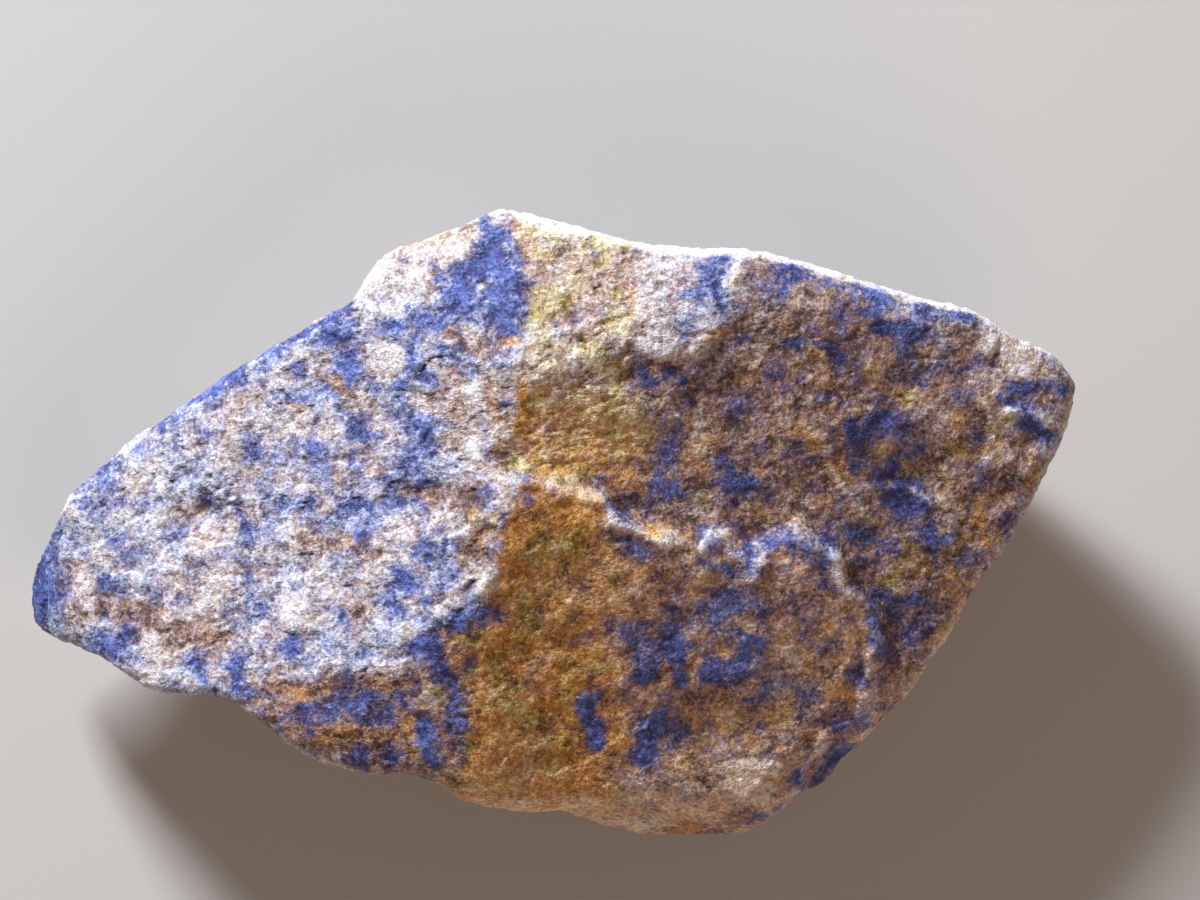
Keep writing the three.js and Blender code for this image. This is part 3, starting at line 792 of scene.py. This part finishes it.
def shape_bruises_and_painted_light(mesh, places, face):
    """The marks that follow the stone's own shape, one number for each corner and mark: painted
    light on the upper rims, and the grains and lumps that stand out, for pale bruises and for
    painted shade in their recesses.
    """
    tilt = averaged(mesh, normals_of(mesh), RIM_ROUNDS)[:, 1]
    right_of_apex = smoothstep(places[:, 0], *APEX_CHANGE)
    return {
        # Painted highlight on the upper rim right of the apex, painted shade on the rim left of it.
        "right_rim_painted_highlight": face * right_of_apex * smoothstep(tilt, *RIGHT_RIM_PAINTED_HIGHLIGHT),
        "left_rim_painted_shade": face * (1 - right_of_apex) * smoothstep(tilt, *LEFT_RIM_PAINTED_SHADE),
        # Raised grains and lumps get pale bruises, and their recesses get painted shade through the
        # dark mask.
        "grain": standing_out(mesh, GRAIN_ROUNDS),
        "lump_bruise_and_shade": standing_out(mesh, LUMP_ROUNDS),
    }


def cloud(points, name):
    """The clouds of one row of CLOUDS."""
    strength, *settings = CLOUDS[name]
    return strength * fractal(points, *settings)


def clouds(points, left):
    """What varies each mask softly, apart from the marks."""
    left_fibres = stretched(points, LEFT_FIBRES, LEFT_CLOUD_LENGTH)
    right_fibres = stretched(points, RIGHT_FIBRES, RIGHT_CLOUD_LENGTH)
    left_blue = left * cloud(left_fibres, "left_blue")
    right_blue = (1 - left) * cloud(right_fibres, "right_blue")
    return {
        "blue": left_blue + right_blue,
        "frost_and_highlight": cloud(left_fibres, "frost_and_highlight"),
        "warm": (1 - LEFT_WARM_CALM * left) * cloud(points, "warm"),
        "olive": cloud(points, "olive"),
        "dark_and_shade": cloud(points, "dark_and_shade"),
    }


def paint(mesh):
    """Writes the masks that the material reads, one number for each corner."""
    points = corners_of(mesh)
    face = smoothstep(normals_of(mesh)[:, 2], *FACE_UP) * smoothstep(points[:, 2], *FACE_HEIGHT)
    places = ragged_places(points)
    weights = {name: face * weight for name, weight in region_weights(places).items()}
    weights["hidden"] = 1 - face
    left = left_weight(weights)
    marks = {**drawn_marks(points, places, face, left), **shape_bruises_and_painted_light(mesh, places, face)}
    for name, soft_part in clouds(points, left).items():
        value = blend(weights, name) + soft_part
        value += sum(effect * marks[mark] for mark, effect in MARK_EFFECTS[name].items())
        layer = mesh.attributes.new(name, "FLOAT", "POINT")
        layer.data.foreach_set("value", np.clip(value, *MASK_LIMITS).astype(np.float32))


# ---------------------------------------------------------------------------------------------
# The rock material
# ---------------------------------------------------------------------------------------------

# A mix node has sockets for every type of data. These are the ones for colours.
COLOUR_MIX_INPUTS = (0, 6, 7)
COLOUR_MIX_OUTPUT = 2


class NodeMaker:
    """Adds shader nodes to a material and links them, so that a recipe reads as a formula."""

    def __init__(self, material):
        self.tree = material.node_tree

    def feed(self, socket, value):
        if isinstance(value, bpy.types.NodeSocket):
            self.tree.links.new(value, socket)
        else:
            socket.default_value = value

    def add(self, kind, settings=None, **inputs):
        made = self.tree.nodes.new("ShaderNode" + kind)
        for name, value in (settings or {}).items():
            setattr(made, name, value)
        for name, value in inputs.items():
            self.feed(made.inputs[name.replace("_", " ")], value)
        return made

    def math(self, operation, *values):
        made = self.tree.nodes.new("ShaderNodeMath")
        made.operation = operation
        for socket, value in zip(made.inputs, values):
            self.feed(socket, value)
        return made.outputs[0]

    def sum(self, *terms):
        total = terms[0]
        for term in terms[1:]:
            total = self.math("ADD", total, term)
        return total

    def scaled(self, value, factor):
        return self.math("MULTIPLY", value, factor)

    def swing(self, value, size):
        """A 0 to 1 value as a number from -size to size."""
        return self.math("MULTIPLY_ADD", value, 2 * size, -size)

    def step(self, value, low, high):
        made = self.add("MapRange", {"interpolation_type": "SMOOTHSTEP"})
        for socket, given in zip(made.inputs, (value, low, high)):
            self.feed(socket, given)
        return made.outputs["Result"]

    def mask(self, name):
        return self.add("Attribute", {"attribute_name": name}).outputs["Fac"]

    def noise(self, place, offset, wavelength, detail, roughness, distortion):
        made = self.add("TexNoise", Scale=1 / wavelength, Detail=detail, Roughness=roughness,
                        Distortion=distortion, Vector=self.vector("ADD", place, offset))
        return made.outputs["Fac"]

    def vector(self, operation, first, second):
        made = self.add("VectorMath", {"operation": operation})
        self.feed(made.inputs[0], first)
        self.feed(made.inputs["Scale" if operation == "SCALE" else 1], second)
        return made.outputs[0]

    def mix(self, factor, first, second):
        made = self.tree.nodes.new("ShaderNodeMix")
        made.data_type = "RGBA"
        for socket, value in zip(COLOUR_MIX_INPUTS, (factor, first, second)):
            self.feed(made.inputs[socket], value)
        return made.outputs[COLOUR_MIX_OUTPUT]


DEEP_BLUE = (0.020, 0.025, 0.115, 1)
ROYAL_BLUE = (0.105, 0.175, 0.56, 1)
# Pale colours for bruises, also used for the painted highlight on the rims and crests.
FROST_AND_HIGHLIGHT = (0.70, 0.71, 0.79, 1)
WARM_FROST_AND_HIGHLIGHT = (0.72, 0.61, 0.51, 1)
OLIVE_FROST_AND_HIGHLIGHT = (0.71, 0.64, 0.46, 1)

# The matrix: plain brown, ochre and olive, each in the pits, between, and on the high grains. The
# dark shade in the pits is partly painted shade, placed through the mask of darkness and shade.
MATRIX_SHADES = [
    ((0.085, 0.043, 0.038, 1), (0.13, 0.058, 0.014, 1), (0.10, 0.070, 0.012, 1)),
    ((0.33, 0.205, 0.165, 1), (0.43, 0.190, 0.040, 1), (0.36, 0.25, 0.065, 1)),
    ((0.66, 0.53, 0.47, 1), (0.63, 0.40, 0.17, 1), (0.63, 0.53, 0.30, 1)),
]

# The size of the crystals, each with a tint, a gloss and a height of its own.
CRYSTAL_SIZE = 0.22

# The noises: the offset that sets each apart, its wavelength, detail, roughness and distortion.
NOISES = {
    "patch": ((0, 0, 0), 2.6, 2.0, 0.55, 0.4),
    "blotch": ((71, 3, 28), 2.0, 2.0, 0.55, 0.4),
    "crumb": ((11, 57, 35), 0.9, 2.0, 0.60, 0.3),
    "grit": ((40, 17, 5), 0.42, 2.0, 0.80, 0.0),
    "dust": ((23, 8, 64), 0.42, 2.0, 0.80, 0.0),
}

# The levels: how far each pattern swings a level up and down, where it begins and where it is full.
MATRIX_SWINGS = {"blotch": 0.6, "grit": 0.6, "tint": 0.1}
LEVELS = {
    "warm": ({"blotch": 0.6}, 0.2, 0.9),
    "olive": ({"patch": -0.6}, 0.2, 0.8),
    "blue": ({"patch": 0.50, "crumb": 0.32}, 0.26, 0.80),
    "light_blue": ({"blotch": 0.5, "grit": 0.6, "tint": 0.1}, -0.40, 0.50),
    "matrix_middle": (MATRIX_SWINGS, -0.50, 0.0),
    "matrix_top": (MATRIX_SWINGS, -0.05, 0.45),
    "warm_frost": ({}, 0.1, 0.6),
    "frost_and_highlight": ({"dust": 0.45, "crumb": 0.35, "patch": -0.40}, 0.10, 1.00),
}

# How much of the darkness, which holds painted shade in recesses and on the left rim, reaches the
# blue and the matrix.
BLUE_DARKNESS = 0.5
MATRIX_DARKNESS = 0.6

# How solid the blue is, and how much the ochre thins it and darkens it.
BLUE_COVER = 0.95
OCHRE_THINS_BLUE = 0.35
OCHRE_DARKENS_BLUE = 0.15

# How solid the frost is, and how much the olive colours it.
FROST_COVER = 0.8
FROST_OLIVE = 0.7

# The fine sparkle that multiplies the colour: its mean, and how far dust and crystals swing it.
SPARKLE = 1.0
DUST_SPARKLE = 0.75
CRYSTAL_SPARKLE = 0.12

ROUGHNESS = 0.85
CRYSTAL_GLOSS = 0.25
SPECULAR = 0.3

# The depth of the finest grain, and the shares of dust and crystals in it.
BUMP_DEPTH = 0.20
BUMP_DUST = 0.8
BUMP_CRYSTALS = 0.12


def rock_patterns(make):
    """The noises and the crystals' heights, tints and glosses, all from 0 to 1."""
    place = make.vector("SCALE", make.add("TexCoord").outputs["Object"], 1 / MM)
    patterns = {name: make.noise(place, *settings) for name, settings in NOISES.items()}
    crystals = make.add("TexVoronoi", Vector=place, Scale=1 / CRYSTAL_SIZE).outputs["Color"]
    channels = make.add("SeparateColor", Color=crystals).outputs
    return patterns | dict(zip(("height", "tint", "gloss"), channels))


def level(make, patterns, name, *starts):
    """A level from 0 to 1: the sum of its starts and its swings, stepped."""
    swings, low, high = LEVELS[name]
    swung = [make.swing(patterns[pattern], size) for pattern, size in swings.items()]
    return make.step(make.sum(*starts, *swung), low, high)


def matrix_colour(make, patterns, warm, olive, dark_and_shade):
    """The rock between the blue: plain brown, ochre or olive, lighter on the high grains and darker
    in the recesses, which is partly painted shade.
    """
    pit, middle, top = [
        make.mix(olive, make.mix(warm, plain, ochre), green)
        for plain, ochre, green in MATRIX_SHADES]
    darkness = make.scaled(dark_and_shade, -MATRIX_DARKNESS)
    lower = make.mix(level(make, patterns, "matrix_middle", darkness), pit, middle)
    return make.mix(level(make, patterns, "matrix_top", darkness), lower, top)


def with_blue(make, patterns, colour, blue, warm, dark_and_shade):
    """The colour with blue grown into it, less solid where the rock is ochre."""
    cover = make.math("MULTIPLY_ADD", warm, -OCHRE_THINS_BLUE, BLUE_COVER)
    share = make.math("MULTIPLY", level(make, patterns, "blue", blue), cover)
    darkness = make.sum(make.scaled(warm, -OCHRE_DARKENS_BLUE), make.scaled(dark_and_shade, -BLUE_DARKNESS))
    shade = make.mix(level(make, patterns, "light_blue", darkness), DEEP_BLUE, ROYAL_BLUE)
    return make.mix(share, colour, shade)


def with_frost_and_highlight(make, patterns, colour, frost_and_highlight, warm_mask, olive):
    """The colour under pale bruises and painted highlights, which are bluish, cream or yellowish
    like the rock below.
    """
    cool_or_warm = make.mix(level(make, patterns, "warm_frost", warm_mask), FROST_AND_HIGHLIGHT, WARM_FROST_AND_HIGHLIGHT)
    shade = make.mix(make.scaled(olive, FROST_OLIVE), cool_or_warm, OLIVE_FROST_AND_HIGHLIGHT)
    share = make.scaled(level(make, patterns, "frost_and_highlight", frost_and_highlight), FROST_COVER)
    return make.mix(share, colour, shade)


def rock_material():
    material = bpy.data.materials.new(SLOT)
    material.use_nodes = True
    make = NodeMaker(material)
    patterns = rock_patterns(make)
    masks = {name: make.mask(name) for name in MARK_EFFECTS}

    warm = level(make, patterns, "warm", masks["warm"])
    olive = level(make, patterns, "olive", masks["olive"])
    colour = matrix_colour(make, patterns, warm, olive, masks["dark_and_shade"])
    colour = with_blue(make, patterns, colour, masks["blue"], warm, masks["dark_and_shade"])
    colour = with_frost_and_highlight(make, patterns, colour, masks["frost_and_highlight"], masks["warm"], olive)
    sparkle = make.sum(SPARKLE, make.swing(patterns["dust"], DUST_SPARKLE),
                       make.swing(patterns["tint"], CRYSTAL_SPARKLE))
    roughness = make.math("MULTIPLY_ADD", patterns["gloss"], -CRYSTAL_GLOSS, ROUGHNESS)
    relief = make.sum(patterns["crumb"], make.scaled(patterns["dust"], BUMP_DUST),
                      make.scaled(patterns["height"], BUMP_CRYSTALS))
    bump = make.add("Bump", Height=relief, Distance=BUMP_DEPTH * MM, Strength=1.0)

    shader = material.node_tree.nodes["Principled BSDF"]
    make.feed(shader.inputs["Base Color"], make.vector("SCALE", colour, sparkle))
    make.feed(shader.inputs["Roughness"], roughness)
    make.feed(shader.inputs["Normal"], bump.outputs["Normal"])
    shader.inputs["Specular IOR Level"].default_value = SPECULAR
    return material


# ---------------------------------------------------------------------------------------------
# Stage
# ---------------------------------------------------------------------------------------------

PHOTO_WIDTH = 1200
PIXELS_PER_MM = 10.5
SENSOR = 36.0
FOCAL_LENGTH = 200.0

# The place on the broad face that the picture's middle shows, and the mean height of its rim.
AIM = (4.67, 7.0)
RIM_HEIGHT = 17.0

# The floor's side and the lights' distances and sizes are in metres.
FLOOR_SIDE = 3.0
FLOOR_COLOUR = (0.50, 0.50, 0.50, 1)
FLOOR_ROUGHNESS = 0.9

# Each light: its azimuth from +X and its elevation in degrees, distance, size, power and colour.
LIGHTS = {
    "window": (118, 24, 0.9, 0.20, 18.5, (0.96, 0.98, 1.0)),
    "warm_fill": (300, 35, 1.0, 0.8, 4.6, (1.0, 0.70, 0.49)),
}
ROOM_COLOUR = (0.85, 0.87, 0.92, 1)
ROOM_STRENGTH = 0.10


def add_camera():
    """Looks straight down, from where the picture is as wide as the photograph's."""
    data = bpy.data.cameras.new("camera")
    data.sensor_width = SENSOR
    data.lens = FOCAL_LENGTH
    distance = FOCAL_LENGTH / SENSOR * PHOTO_WIDTH / PIXELS_PER_MM
    camera = bpy.data.objects.new("camera", data)
    camera.location = (AIM[0] * MM, AIM[1] * MM, (RIM_HEIGHT + distance) * MM)
    bpy.context.scene.collection.objects.link(camera)
    bpy.context.scene.camera = camera


def add_floor():
    bpy.ops.mesh.primitive_plane_add(size=FLOOR_SIDE)
    floor = bpy.context.object
    floor.name = "floor"
    material = bpy.data.materials.new("pale_floor")
    material.use_nodes = True
    shader = material.node_tree.nodes["Principled BSDF"]
    shader.inputs["Base Color"].default_value = FLOOR_COLOUR
    shader.inputs["Roughness"].default_value = FLOOR_ROUGHNESS
    floor.data.materials.append(material)


def add_light(name, azimuth, elevation, distance, size, power, colour):
    """A square soft light that faces the stone."""
    data = bpy.data.lights.new(name, "AREA")
    data.size = size
    data.energy = power
    data.color = colour
    light = bpy.data.objects.new(name, data)
    turn = math.radians(azimuth)
    tilt = math.radians(elevation)
    reach = distance * math.cos(tilt)
    light.location = (reach * math.cos(turn), reach * math.sin(turn), distance * math.sin(tilt))
    light.rotation_euler = (math.pi / 2 - tilt, 0, turn + math.pi / 2)
    bpy.context.scene.collection.objects.link(light)


def light_scene():
    for name, settings in LIGHTS.items():
        add_light(name, *settings)
    world = bpy.data.worlds.new("soft_room")
    world.use_nodes = True
    background = world.node_tree.nodes["Background"]
    background.inputs["Color"].default_value = ROOM_COLOUR
    background.inputs["Strength"].default_value = ROOM_STRENGTH
    bpy.context.scene.world = world
    bpy.context.scene.view_settings.view_transform = "Standard"


# ---------------------------------------------------------------------------------------------
# The scene
# ---------------------------------------------------------------------------------------------

stone = fine_copy(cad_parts[NODE])
soften_facets(stone.data)
carve(stone.data)
paint(stone.data)
stone.data.materials.append(rock_material())
for polygon in stone.data.polygons:
    polygon.use_smooth = True
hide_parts(NODE)
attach(stone, BODY)

add_floor()
light_scene()
add_camera()
